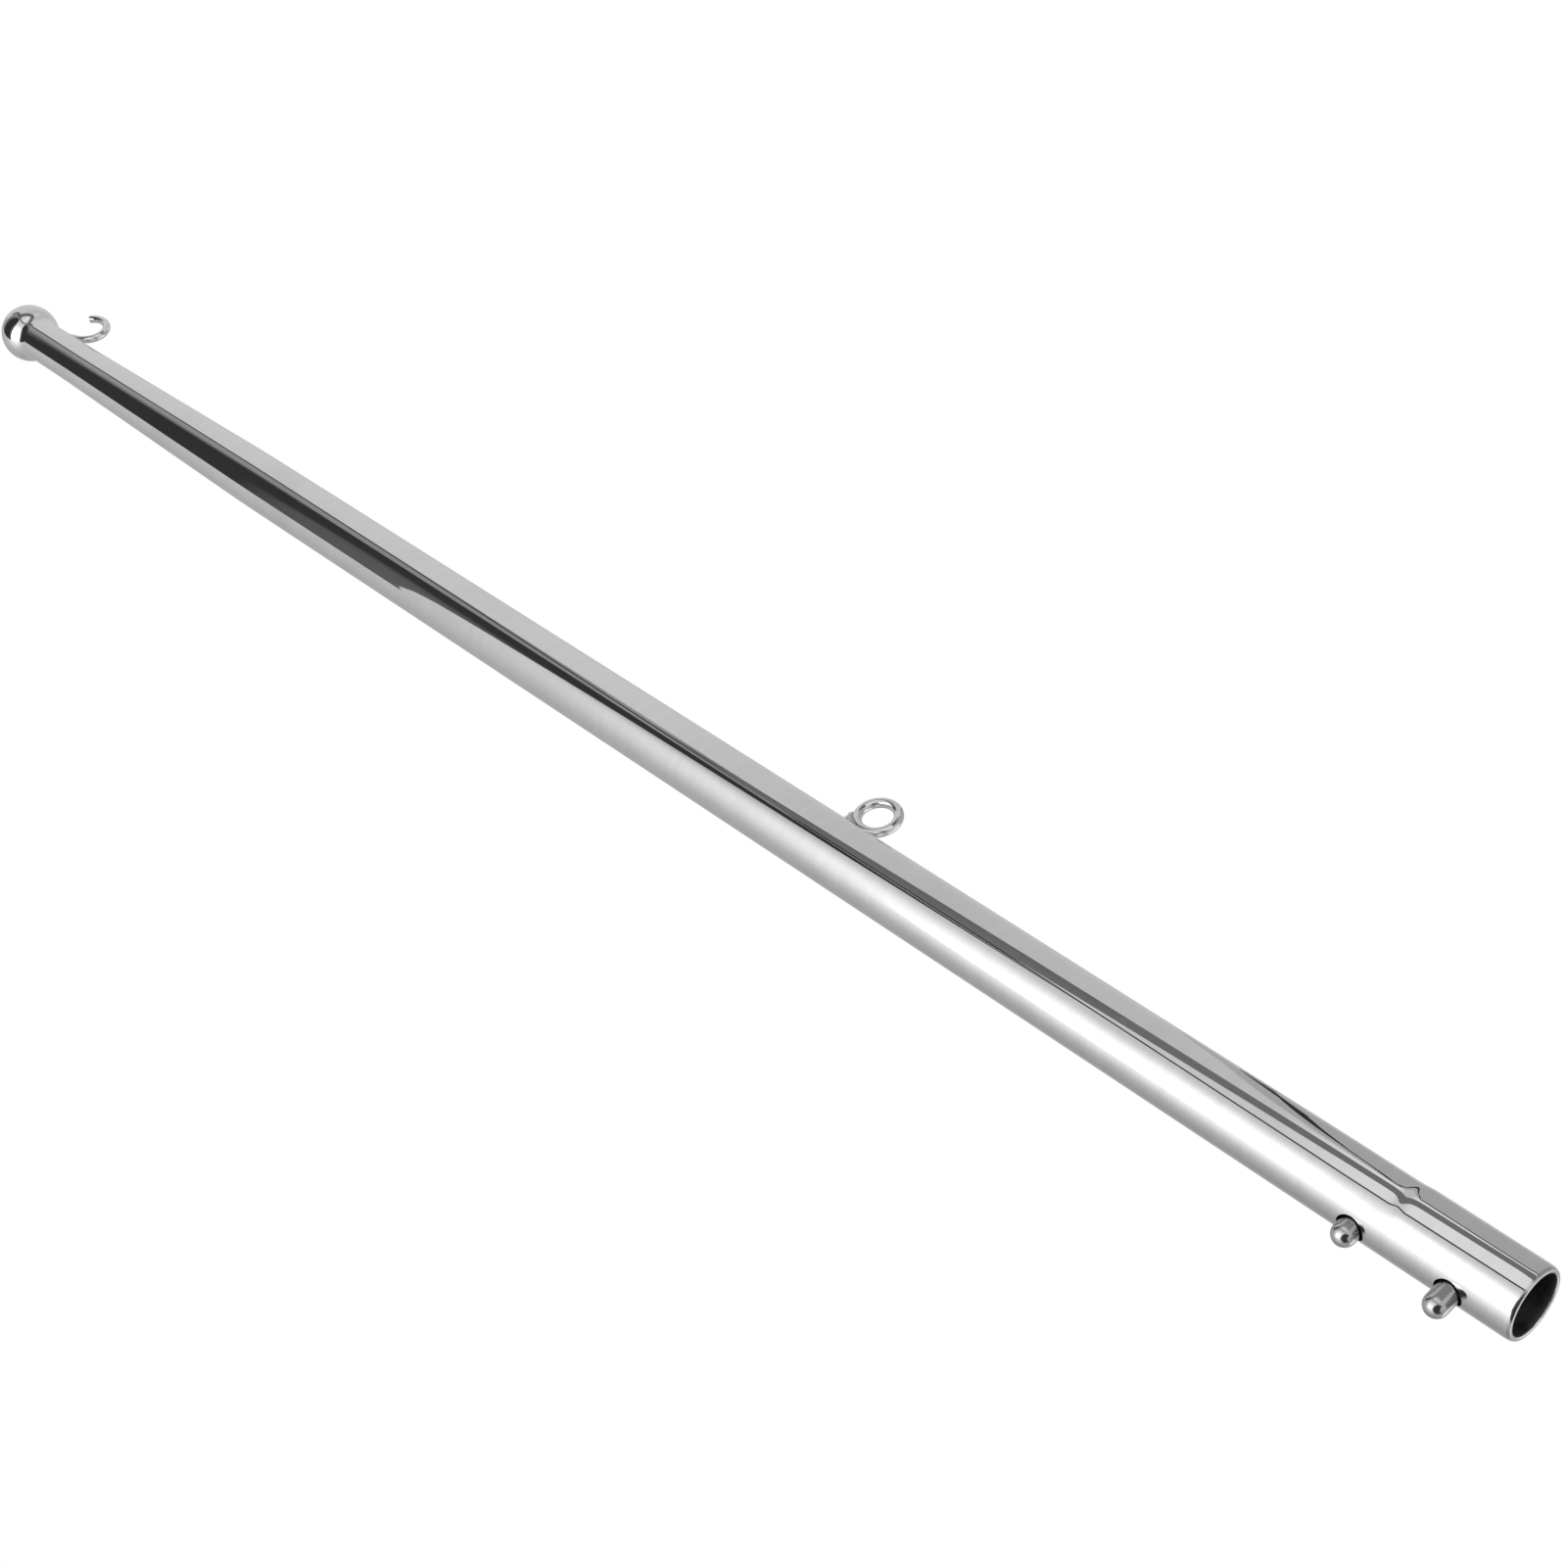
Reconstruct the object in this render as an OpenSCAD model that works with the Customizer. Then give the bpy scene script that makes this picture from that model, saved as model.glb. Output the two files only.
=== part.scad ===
// Flagpole with a sprung foot: a polished round tube that is pushed into a socket,
// with a drawn-down top, a ball, a hook and an eye for the flag, and two domed
// spring buttons that lock it in place.
// Millimetres. +Z runs along the pole from its foot to its ball. The origin is the
// centre of the foot's end face. The hook and the eye stand on +X, the buttons on -X.

/* [Tube] */
// Overall height, from the foot to the top of the ball
pole_h = 919; // [600:1:1300]
// Outer diameter of the tube
tube_d = 25.4; // [22:0.1:40]
// Wall thickness of the tube
wall = 1.5; // [1:0.1:2]
// Rounding of the outer edge at the foot
lip_outer_r = 0.5; // [0.2:0.1:0.5]
// Rounding of the inner edge at the foot
lip_inner_r = 0.4; // [0.2:0.1:0.4]

/* [Top] */
// Diameter of the neck under the ball
neck_d = 20.7; // [14:0.1:21.5]
// Height of the straight neck, up to the middle of the ball
neck_l = 46; // [44:1:80]
// Length of the taper between the tube and the neck
taper_l = 170; // [60:5:250]
// Diameter of the ball
ball_d = 28.4; // [26:0.2:40]
// Radius of the fillet between the neck and the ball
ball_fillet_r = 3.5; // [1:0.5:5]

/* [Hook and eye] */
// Diameter of the wire of the hook and the eye
wire_d = 3.8; // [3:0.1:5]
// Width of the hook's bend, to the middle of the wire on both sides
hook_w = 16.8; // [14:0.1:24]
// Depth of the hook's bend, from its root to its lowest point
hook_depth = 10.6; // [8:0.1:14]
// Angle by which the hook's free end curls in
hook_curl = 50; // [0:1:60]
// Height of the hook's root below the fillet under the ball
hook_drop = 14.6; // [14:0.1:22]
// Length of the hook's root that lies along the neck
hook_root_l = 3.5; // [2.5:0.5:7]
// Radius of the eye's ring, to the middle of the wire
eye_r = 7.8; // [6.5:0.1:12]
// Height of the eye above the foot
eye_z = 298.5; // [150:0.5:450]
// Height of the welds over the surface that they stand on
weld_h = 1.5; // [1:0.1:2]

/* [Buttons] */
// Diameter of a button
button_d = 8.3; // [6:0.1:9]
// Clearance round a button in its hole
button_gap = 0.35; // [0.2:0.05:0.5]
// Height of the lower button above the foot
lower_z = 21.2; // [18:0.1:30]
// Height of the upper button above the foot
upper_z = 56.7; // [50:0.1:120]
// How far the lower button stands out
lower_out = 9.3; // [6:0.1:10]
// How far the upper button stands out
upper_out = 6.6; // [5:0.1:9]
// Thickness of the shoulder that keeps a button in
shoulder_t = 1.5; // [1:0.1:2]
// Diameter of the spring's wire
spring_wire_d = 0.8; // [0.6:0.1:1]
// Number of turns of each spring
spring_turns = 6; // [4:1:7]

/* [Hidden] */
$fn = 96;

// Clearance where two pieces are fitted together
fit_gap = 0.1;
// Space between a wire and the round surface that it is welded to
touch_gap = 0.05;
// Overrun of a cut past the face that it opens
cut = 1;
// Length of the ball's spigot inside the neck
spigot_l = 12;
// How far a weld stands out past the wire on both sides
weld_side = 0.5;
// How far the hook's weld runs past the root's ends
weld_over = 2.5;
// Angle by which a weld's bead runs on under the surface that it stands on
bead_overrun = 4;
// Place of the drops at the eye's weld: out from the tube, and up or down as a share of the ring
drop_out = 0.2;
drop_share = 0.58;
// How far a button's shoulder reaches past its stem
shoulder_lip = 1.4;
// How far the spring's wire runs inside the stem's outline
spring_inset = 1;
// Length of the guide inside the spring, and its clearance there
guide_l = 4.5;
guide_gap = 0.5;

tube_r = tube_d / 2;
bore_r = tube_r - wall;
neck_r = neck_d / 2;
neck_bore_r = neck_r - wall;
wire_r = wire_d / 2;

// The ball's middle, and the fillet that runs from the neck into it
ball_r = ball_d / 2;
ball_z = pole_h - ball_r;
fillet_x = neck_r + ball_fillet_r;
fillet_z = ball_z - sqrt(pow(ball_r + ball_fillet_r, 2) - pow(fillet_x, 2));
taper_top = ball_z - neck_l;
taper_foot = taper_top - taper_l;

// The hook's root lies along the neck, and its bend is part of an ellipse below it
hook_x = neck_r + wire_r + touch_gap;
hook_z = fillet_z - hook_drop;
hook_sides = 24;
root_rings = 4;
bend_step = 6;

// The eye stands just off the tube, and its weld closes the gap
eye_x = tube_r + wire_r + touch_gap + eye_r;

// A button's shoulder lies inside the tube and rests on the wall's two sides
button_r = button_d / 2;
hole_r = button_r + button_gap;
shoulder_r = button_r + shoulder_lip;
shoulder_x = -sqrt(pow(bore_r, 2) - pow(shoulder_r, 2)) + fit_gap;
spring_r = button_r - spring_inset;
spring_wire_r = spring_wire_d / 2;
guide_r = spring_r - spring_wire_r - guide_gap;
spring_foot = shoulder_x + shoulder_t + spring_wire_r + fit_gap;
spring_seat = sqrt(pow(bore_r, 2) - pow(spring_r + spring_wire_r, 2)) - spring_wire_r - fit_gap;
spring_sides = 8;
spring_steps = 16;

steel = "gainsboro";
satin = "silver";

// Takes the corner at [x, 0] off a section, leaving an arc of radius r.
// side is 1 where the corner is on the section's outer edge and -1 on its inner edge.
module round_foot(x, side, r) {
    translate([x - side * r, r])
        difference() {
            translate([side > 0 ? 0 : -r - cut, -r - cut])
                square([r + cut, r + cut]);
            circle(r);
        }
}

// Half the tube's wall, as it is turned about the axis
module wall_section() {
    difference() {
        polygon([
            [bore_r, 0], [tube_r, 0],
            [tube_r, taper_foot], [neck_r, taper_top], [neck_r, fillet_z],
            [neck_bore_r, fillet_z], [neck_bore_r, taper_top], [bore_r, taper_foot]
        ]);
        round_foot(tube_r, 1, lip_outer_r);
        round_foot(bore_r, -1, lip_inner_r);
    }
}

module button_hole(z) {
    translate([-tube_r - cut, 0, z])
        rotate([0, 90, 0])
            cylinder(r = hole_r, h = tube_r + cut);
}

module pole_tube() {
    color(steel)
        difference() {
            rotate_extrude()
                wall_section();
            button_hole(lower_z);
            button_hole(upper_z);
        }
}

// The ball, its fillet and the spigot that goes down into the neck
module ball_finial() {
    color(steel)
        rotate_extrude() {
            difference() {
                polygon([[0, fillet_z], [fillet_x, fillet_z], [0, ball_z]]);
                translate([fillet_x, fillet_z])
                    circle(ball_fillet_r);
            }
            intersection() {
                translate([0, ball_z])
                    circle(ball_r);
                translate([0, ball_z - ball_d])
                    square([ball_d, 2 * ball_d]);
            }
            translate([0, fillet_z - spigot_l])
                square([neck_bore_r - fit_gap, spigot_l + cut]);
        }
}

// Rings of points are joined into one closed tube; each ring has the same number of points
module tube_of_rings(rings) {
    sides = len(rings[0]);
    last = len(rings) - 1;
    walls = [
        for (i = [0:last - 1], k = [0:sides - 1])
            let (next = (k + 1) % sides, base = i * sides)
            [base + k, base + next, base + sides + next, base + sides + k]
    ];
    foot = [for (k = [sides - 1:-1:0]) k];
    head = [for (k = [0:sides - 1]) last * sides + k];
    polyhedron([for (ring = rings) each ring], concat(walls, [foot], [head]));
}

// Middle of the hook's wire at an angle round its bend, 180 being at the root
function bend_point(t) = [hook_x + hook_w / 2 * (1 + cos(t)), 0, hook_z + hook_depth * sin(t)];

// Outward direction, in the hook's plane, at the same angle
function bend_normal(t) =
    let (n = [hook_depth * cos(t), 0, hook_w / 2 * sin(t)])
    n / norm(n);

function wire_ring(middle, normal) = [
    for (k = [0:hook_sides - 1])
        let (a = 360 * k / hook_sides)
        middle + wire_r * (cos(a) * normal + sin(a) * [0, 1, 0])
];

module flag_hook() {
    root = [
        for (i = [root_rings:-1:1])
            wire_ring(bend_point(180) + [0, 0, hook_root_l * i / root_rings], bend_normal(180))
    ];
    bend = [for (t = [180:bend_step:360 + hook_curl]) wire_ring(bend_point(t), bend_normal(t))];
    color(steel)
        tube_of_rings(concat(root, bend));
}

// A long low bead that stands up by weld_h from a round surface and sinks into it at both ends.
// It is part of a ring round the Y axis, and the caller takes the surface itself away.
module bead(surface_r, z, half_l, half_w) {
    ring_r = (pow(half_l, 2) + pow(weld_h, 2)) / (2 * weld_h);
    sweep = asin(half_l / ring_r) + bead_overrun;
    translate([surface_r + weld_h - ring_r, 0, z])
        rotate([90, 0, 0])
            rotate([0, 0, -sweep])
                rotate_extrude(angle = 2 * sweep)
                    translate([ring_r - half_w, 0])
                        circle(half_w);
}

// Weld along the hook's root and over its end
module hook_weld() {
    color(satin)
        difference() {
            bead(neck_r, hook_z + hook_root_l, hook_root_l + weld_over, wire_r + weld_side);
            cylinder(r = neck_r, h = pole_h);
            translate([hook_x, 0, hook_z - hook_depth])
                cylinder(r = wire_r, h = hook_root_l + hook_depth);
        }
}

module eye_ring() {
    translate([eye_x, 0, eye_z])
        rotate([90, 0, 0])
            rotate_extrude()
                translate([eye_r, 0])
                    circle(wire_r);
}

module flag_eye() {
    color(steel)
        eye_ring();
}

// Weld along the ring's base, with a drop in each wedge between the ring and the tube
module eye_weld() {
    color(satin)
        difference() {
            union() {
                bead(tube_r, eye_z, eye_r, wire_r + weld_side);
                for (side = [-1, 1])
                    translate([tube_r + drop_out, 0, eye_z + side * eye_r * drop_share])
                        sphere(wire_r);
            }
            cylinder(r = tube_r, h = pole_h);
            eye_ring();
        }
}

// A button pointing along -X: domed end, stem, shoulder and the guide for its spring
module button(z, out) {
    dome_foot = tube_r + out - button_r;
    shoulder_foot = -shoulder_x - shoulder_t;
    color(satin)
        translate([0, 0, z])
            rotate([0, -90, 0])
                rotate_extrude() {
                    translate([0, dome_foot])
                        intersection() {
                            circle(button_r);
                            translate([0, -button_r])
                                square([button_r, button_d]);
                        }
                    translate([0, shoulder_foot])
                        square([button_r, dome_foot - shoulder_foot]);
                    translate([0, shoulder_foot])
                        square([shoulder_r, shoulder_t]);
                    translate([0, shoulder_foot - guide_l])
                        square([guide_r, guide_l + shoulder_t]);
                }
}

module lower_button() {
    button(lower_z, lower_out);
}

module upper_button() {
    button(upper_z, upper_out);
}

// One ring of the spring's wire: the coil runs along +X, from the shoulder to the far wall
function coil_ring(i) =
    let (turn = 360 * i / spring_steps,
         run = (spring_seat - spring_foot) * i / (spring_steps * spring_turns))
    [
        for (k = [0:spring_sides - 1])
            let (a = 360 * k / spring_sides, reach = spring_r + spring_wire_r * cos(a))
            [spring_foot + run + spring_wire_r * sin(a), reach * cos(turn), reach * sin(turn)]
    ];

module spring(z) {
    color(satin)
        translate([0, 0, z])
            tube_of_rings([for (i = [0:spring_steps * spring_turns]) coil_ring(i)]);
}

module lower_spring() {
    spring(lower_z);
}

module upper_spring() {
    spring(upper_z);
}

pole_tube();
ball_finial();
flag_hook();
hook_weld();
flag_eye();
eye_weld();
lower_button();
upper_button();
lower_spring();
upper_spring();
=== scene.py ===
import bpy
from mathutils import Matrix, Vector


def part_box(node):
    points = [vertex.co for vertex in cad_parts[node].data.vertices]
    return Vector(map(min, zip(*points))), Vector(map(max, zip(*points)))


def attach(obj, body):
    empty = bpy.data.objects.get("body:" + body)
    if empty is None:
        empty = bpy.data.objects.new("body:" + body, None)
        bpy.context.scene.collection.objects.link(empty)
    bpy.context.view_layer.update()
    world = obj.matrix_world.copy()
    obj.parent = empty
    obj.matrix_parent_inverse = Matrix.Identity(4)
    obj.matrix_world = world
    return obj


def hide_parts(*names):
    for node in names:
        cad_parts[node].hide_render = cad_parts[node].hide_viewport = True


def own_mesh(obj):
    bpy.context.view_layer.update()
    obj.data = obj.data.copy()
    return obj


bl_info = {
    "name": "Flagpole",
    "version": (1, 0, 0),
    "blender": (4, 5, 0),
    "location": "3D View > Sidebar > Flagpole",
    "description": "Builds the looks of a polished flagpole around its frame",
    "category": "Object",
}

import math

import bpy
from bpy.props import FloatProperty, FloatVectorProperty, IntProperty, PointerProperty
from mathutils import Matrix, Vector

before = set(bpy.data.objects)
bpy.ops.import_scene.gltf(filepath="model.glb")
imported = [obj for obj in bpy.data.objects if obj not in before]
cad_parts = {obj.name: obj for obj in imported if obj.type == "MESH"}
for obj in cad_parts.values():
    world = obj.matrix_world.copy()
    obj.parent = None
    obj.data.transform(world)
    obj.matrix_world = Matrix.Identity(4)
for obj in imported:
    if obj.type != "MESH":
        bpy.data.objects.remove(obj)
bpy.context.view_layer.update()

# Places and sizes that the frame gives, in metres
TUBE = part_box("pole_tube")
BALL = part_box("ball_finial")
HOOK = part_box("flag_hook")
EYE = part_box("flag_eye")
BUTTONS = {name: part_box(name) for name in ("lower_button", "upper_button")}
SPRINGS = {name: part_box(name) for name in ("lower_spring", "upper_spring")}

X_AXIS = Vector((1, 0, 0))
Y_AXIS = Vector((0, 1, 0))
Z_AXIS = Vector((0, 0, 1))
QUARTER_TURN = math.pi / 2
FULL_TURN = 2 * math.pi
MERGE = 1e-6  # distance under which two points are one


# ---- sizes and colours ----


def length(name, text, default):
    return FloatProperty(
        name=name, description=text, default=default, unit="LENGTH", subtype="DISTANCE"
    )


def colour(name, text, default):
    return FloatVectorProperty(
        name=name, description=text, default=default, size=4, min=0, max=1, subtype="COLOR"
    )


class FlagpoleSizes(bpy.types.PropertyGroup):
    """Sizes of the pieces that the frame's boxes don't give by themselves"""

    tube_radius: length("Tube radius", "Outer radius of the tube", TUBE[1].x)
    wall: length("Wall", "Thickness of the tube's wall", 0.0015)
    neck_radius: length("Neck radius", "Radius of the tube under the ball", 0.01035)
    neck_length: length("Neck length", "Height of the neck, up to the ball", 0.046)
    taper_length: length("Taper length", "Length of the drawn-down stretch", 0.17)
    taper_blend: length("Taper blend", "Length over which the taper's ends are rounded", 0.016)
    lip_depth: length("Lip depth", "How far the foot's outer edge draws in", 0.0009)
    lip_length: length("Lip length", "Height over which the foot's outer edge draws in", 0.0028)
    lip_inner: length("Inner lip", "Rounding of the foot's inner edge", 0.0004)
    mouth: length("Mouth", "How far the foot's inner edge is rolled in", 0.00045)
    ring_height: length("Rolled ring height", "Height of the faint rolled ring", 0.0454)
    ring_step: length("Rolled ring step", "How far the tube steps in at the ring", 0.00036)
    ring_width: length("Rolled ring width", "Length over which the tube steps in", 0.001)
    ball_fillet: length("Ball fillet", "Radius of the fillet under the ball", 0.011)
    wire_radius: length("Wire radius", "Radius of the hook's and the eye's wire", EYE[1].y)
    hook_width: length("Hook width", "Width of the bend between the wire's middles", 0.0168)
    hook_depth: length("Hook depth", "Depth of the hook's bend", 0.0106)
    hook_root: length("Hook root", "Length over which the hook's root thins out", 0.0085)
    hook_curl: FloatProperty(
        name="Hook curl", description="How far the hook's end curls in",
        default=math.radians(50), subtype="ANGLE",
    )
    button_radius: length("Button radius", "Radius of a button's stem", 0.00415)
    hole_radius: length("Hole radius", "Radius of the holes for the buttons", 0.005)
    shoulder: length("Shoulder", "Thickness of a button's shoulder", 0.0015)
    guide_length: length("Guide length", "Length of the guide inside the spring", 0.0045)
    lower_travel: length("Lower travel", "How far the lower button can be pressed", 0.0093)
    upper_travel: length("Upper travel", "How far the upper button can be pressed", 0.0066)
    spring_wire: length("Spring wire", "Diameter of a spring's wire", 0.0008)
    spring_turns: IntProperty(
        name="Spring turns", description="Turns of each spring", default=6, min=3, max=9
    )


class FlagpoleFinish(bpy.types.PropertyGroup):
    """Colours of the finishes"""

    steel: colour("Polished steel", "Tube, ball, hook and eye", (0.8, 0.8, 0.8, 1))
    steel_dull: colour("Handled steel", "Where the polish is less even", (0.67, 0.67, 0.675, 1))
    bore: colour("Bore", "Unpolished inside of the tube", (0.34, 0.335, 0.33, 1))
    # Painted shade: the walls of the button holes get a near-black colour for the shade in the gap
    # round each button.
    drilled: colour("Drilled edge", "Walls of the holes for the buttons", (0.07, 0.068, 0.066, 1))
    weld: colour("Weld", "Brushed weld", (0.72, 0.715, 0.71, 1))
    button: colour("Button", "Turned buttons", (0.62, 0.615, 0.61, 1))
    spring: colour("Spring", "Spring wire", (0.45, 0.44, 0.43, 1))


def sizes():
    return bpy.context.scene.flagpole_sizes


def finish():
    return bpy.context.scene.flagpole_finish


# ---- modelling by hand ----


def to_mode(mode):
    bpy.ops.object.mode_set(mode=mode)


def deselect_all():
    if bpy.context.object is not None and bpy.context.object.mode != "OBJECT":
        to_mode("OBJECT")
    bpy.ops.object.select_all(action="DESELECT")


def only(obj):
    """Leaves edit mode and makes obj the one selected object."""
    deselect_all()
    obj.select_set(True)
    bpy.context.view_layer.objects.active = obj
    return obj


def start_with(primitive, **values):
    """Adds a primitive with nothing else selected."""
    deselect_all()
    primitive(**values)
    return bpy.context.object


def arc(middle, radius, start, end, steps):
    """Points along an arc in an outline's plane, in degrees, both ends included."""
    turn = [math.radians(start + (end - start) * i / steps) for i in range(steps + 1)]
    return [(middle[0] + radius * math.cos(t), middle[1] + radius * math.sin(t)) for t in turn]


def split_evenly(start, end, longest):
    """Points after start up to end, no further apart than longest."""
    steps = max(1, math.ceil((Vector(end) - Vector(start)).length / longest))
    return [tuple(Vector(start).lerp(Vector(end), i / steps)) for i in range(1, steps + 1)]


def draw_outline(name, points):
    """Draws a chain of edges, extruded from one point to the next, and stays in edit mode."""
    obj = start_with(bpy.ops.mesh.primitive_plane_add, size=0.01, location=(0, 0, 0))
    obj.name = obj.data.name = name
    to_mode("EDIT")
    bpy.ops.mesh.select_mode(type="VERT")
    bpy.ops.mesh.select_all(action="SELECT")
    bpy.ops.mesh.merge(type="CENTER")
    bpy.ops.transform.translate(value=points[0])
    for here, there in zip(points, points[1:]):
        bpy.ops.mesh.extrude_region_move(TRANSFORM_OT_translate={"value": there - here})
    return obj


def clean_mesh():
    """In edit mode: closes seams and poles, turns every face outwards, and leaves edit mode."""
    bpy.ops.mesh.select_all(action="SELECT")
    bpy.ops.mesh.remove_doubles(threshold=MERGE)
    bpy.ops.mesh.normals_make_consistent(inside=False)
    to_mode("OBJECT")


def spin_round(steps, middle, axis):
    """In edit mode: spins what is there a full turn about an axis, and leaves edit mode."""
    bpy.ops.mesh.select_all(action="SELECT")
    bpy.ops.mesh.spin(steps=steps, angle=FULL_TURN, center=middle, axis=axis)
    clean_mesh()


def turn_outline(name, points, steps, middle, axis):
    """Spins an outline a full turn about an axis."""
    obj = draw_outline(name, points)
    spin_round(steps, middle, axis)
    return obj


def soften_edges(obj, test, offset, segments):
    """Bevels the edges whose two ends pass the test."""
    only(obj)
    mesh = obj.data
    for parts in (mesh.polygons, mesh.edges, mesh.vertices):
        parts.foreach_set("select", [False] * len(parts))
    for edge in mesh.edges:
        edge.select = all(test(mesh.vertices[i].co) for i in edge.vertices)
    to_mode("EDIT")
    bpy.ops.mesh.select_mode(type="EDGE")
    bpy.ops.mesh.bevel(offset=offset, segments=segments, affect="EDGES")
    to_mode("OBJECT")


def add_modifier(obj, kind, **settings):
    """Adds a modifier and applies it."""
    only(obj)
    modifier = obj.modifiers.new(kind.title(), kind)
    for name, value in settings.items():
        setattr(modifier, name, value)
    bpy.ops.object.modifier_apply(modifier=modifier.name)


def combine(obj, operation, other):
    """Cuts obj with another shape, or down to it, and removes that shape."""
    add_modifier(obj, "BOOLEAN", operation=operation, object=other, solver="EXACT")
    bpy.data.objects.remove(other)
    return obj


def place_in_mesh(obj):
    """Puts the object's place, turn and scale into its mesh."""
    only(obj)
    bpy.ops.object.transform_apply(location=True, rotation=True, scale=True)


def give_materials(obj, *names):
    obj.data.materials.clear()
    for name in names:
        obj.data.materials.append(material_of(name))


def hand_over(obj, name, body, slot, *nodes):
    """Smooths a finished piece and sets it on its body in place of its nodes."""
    place_in_mesh(obj)
    bpy.ops.object.shade_smooth_by_angle(angle=math.radians(35))
    obj.name = obj.data.name = name
    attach(obj, body)
    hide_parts(*nodes)
    deselect_all()


def radius_of(point):
    return math.hypot(point.x, point.y)


def height_of(box):
    """The height of a box's middle."""
    return (box[0].z + box[1].z) / 2


# ---- nodes ----


def add(tree, kind, values=None, **settings):
    """Adds a shader node with its settings and its sockets' values, or links to the sockets."""
    node = tree.nodes.new("ShaderNode" + kind)
    for name, value in settings.items():
        setattr(node, name, value)
    for name, value in (values or {}).items():
        if isinstance(value, bpy.types.NodeSocket):
            tree.links.new(value, node.inputs[name])
        else:
            node.inputs[name].default_value = value
    return node


def math_node(tree, operation, first, second=0.0, clamp=False):
    values = {0: first, 1: second}
    return add(tree, "Math", values, operation=operation, use_clamp=clamp).outputs[0]


def times(tree, first, second):
    return math_node(tree, "MULTIPLY", first, second)


def spread(tree, value, low, high, to_low=0.0, to_high=1.0):
    """Maps low..high to another range with soft ends."""
    values = {
        "Value": value, "From Min": low, "From Max": high, "To Min": to_low, "To Max": to_high,
    }
    return add(tree, "MapRange", values, interpolation_type="SMOOTHSTEP").outputs["Result"]


def noise(tree, point, scale, detail, **values):
    """A cloudy pattern. Its outputs are Fac and Color."""
    values = {"Vector": point, "Scale": scale, "Detail": detail, **values}
    return add(tree, "TexNoise", values).outputs


def object_point(tree):
    return add(tree, "TexCoord").outputs["Object"]


def mix_colour(tree, factor, first, second):
    """Blends two colours. The mix node has its factor at socket 0 and its colours at 6 and 7."""
    values = {0: factor, 6: first, 7: second}
    return add(tree, "Mix", values, data_type="RGBA").outputs[2]


def mix_shaders(tree, factor, first, second):
    return add(tree, "MixShader", {0: factor, 1: first, 2: second}).outputs[0]


def empty_tree(owner):
    """A material's or a world's own nodes, switched on and cleared."""
    owner.use_nodes = True
    owner.node_tree.nodes.clear()
    return owner.node_tree


def show(tree, shader, output="OutputMaterial"):
    """Links a shader to a new output node."""
    add(tree, output, {"Surface": shader})


# ---- node groups ----


def new_group(name, inputs, *outputs):
    """An empty shader node group, the sockets that bring its inputs, and its output node."""
    group = bpy.data.node_groups.new(name, "ShaderNodeTree")
    for label, default in inputs.items():
        socket = group.interface.new_socket(
            name=label, in_out="INPUT", socket_type="NodeSocketFloat"
        )
        socket.default_value = default
    for label in outputs:
        group.interface.new_socket(name=label, in_out="OUTPUT", socket_type="NodeSocketFloat")
    given = group.nodes.new("NodeGroupInput")
    return group, given.outputs, group.nodes.new("NodeGroupOutput")


def grain_group():
    """Long fine lines that polishing leaves along one direction. The scales are lines a metre."""
    group, given, result = new_group(
        "Polishing lines",
        {"Across": 900.0, "Along X": 1.0, "Along Y": 1.0, "Along Z": 0.02, "Contrast": 0.5},
        "Height", "Mask",
    )
    stretch = add(group, "CombineXYZ", {axis: given["Along " + axis] for axis in "XYZ"})
    values = {0: object_point(group), 1: stretch.outputs[0]}
    point = add(group, "VectorMath", values, operation="MULTIPLY").outputs[0]
    fine = noise(group, point, given["Across"], 3.0, Roughness=0.6)
    broad = noise(group, point, times(group, given["Across"], 0.17), 2.0)
    half = times(group, math_node(group, "ADD", fine["Fac"], broad["Fac"]), 0.5)
    reach = times(group, given["Contrast"], 0.5)
    low, high = (math_node(group, way, 0.5, reach) for way in ("SUBTRACT", "ADD"))
    group.links.new(half, result.inputs["Height"])
    group.links.new(spread(group, half, low, high), result.inputs["Mask"])
    return group


def handling_group():
    """Soft smudges and a few hairline scratches from handling."""
    group, given, result = new_group(
        "Handling marks", {"Smudge Scale": 30.0, "Scratch Scale": 120.0, "Amount": 0.5},
        "Smudge", "Scratch",
    )
    point = object_point(group)
    cloud = noise(group, point, given["Smudge Scale"], 4.0, Roughness=0.55, Distortion=0.4)["Fac"]
    smudge = times(group, spread(group, cloud, 0.42, 0.72), given["Amount"])
    bend = noise(group, point, given["Smudge Scale"], 1.0)["Color"]
    values = {0: bend, 1: (0.02, 0.02, 0.02), 2: point}
    bent = add(group, "VectorMath", values, operation="MULTIPLY_ADD").outputs[0]
    values = {"Vector": bent, "Scale": given["Scratch Scale"]}
    cells = add(group, "TexVoronoi", values, feature="DISTANCE_TO_EDGE")
    line = spread(group, cells.outputs["Distance"], 0.0, 0.012, 1.0, 0.0)
    patches = spread(group, cloud, 0.5, 0.62)
    kept = times(group, times(group, line, patches), given["Amount"])
    group.links.new(smudge, result.inputs["Smudge"])
    group.links.new(kept, result.inputs["Scratch"])
    return group


def edge_group():
    """Worn edges, from how sharply the surface bends."""
    group, given, result = new_group(
        "Worn edges", {"Start": 0.52, "End": 0.62, "Break Up": 400.0}, "Wear"
    )
    bend = add(group, "NewGeometry").outputs["Pointiness"]
    edge = spread(group, bend, given["Start"], given["End"])
    cloud = noise(group, object_point(group), given["Break Up"], 3.0)["Fac"]
    worn = times(group, edge, spread(group, cloud, 0.35, 0.6))
    group.links.new(worn, result.inputs["Wear"])
    return group


GROUPS = {
    "Polishing lines": grain_group, "Handling marks": handling_group, "Worn edges": edge_group,
}


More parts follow.
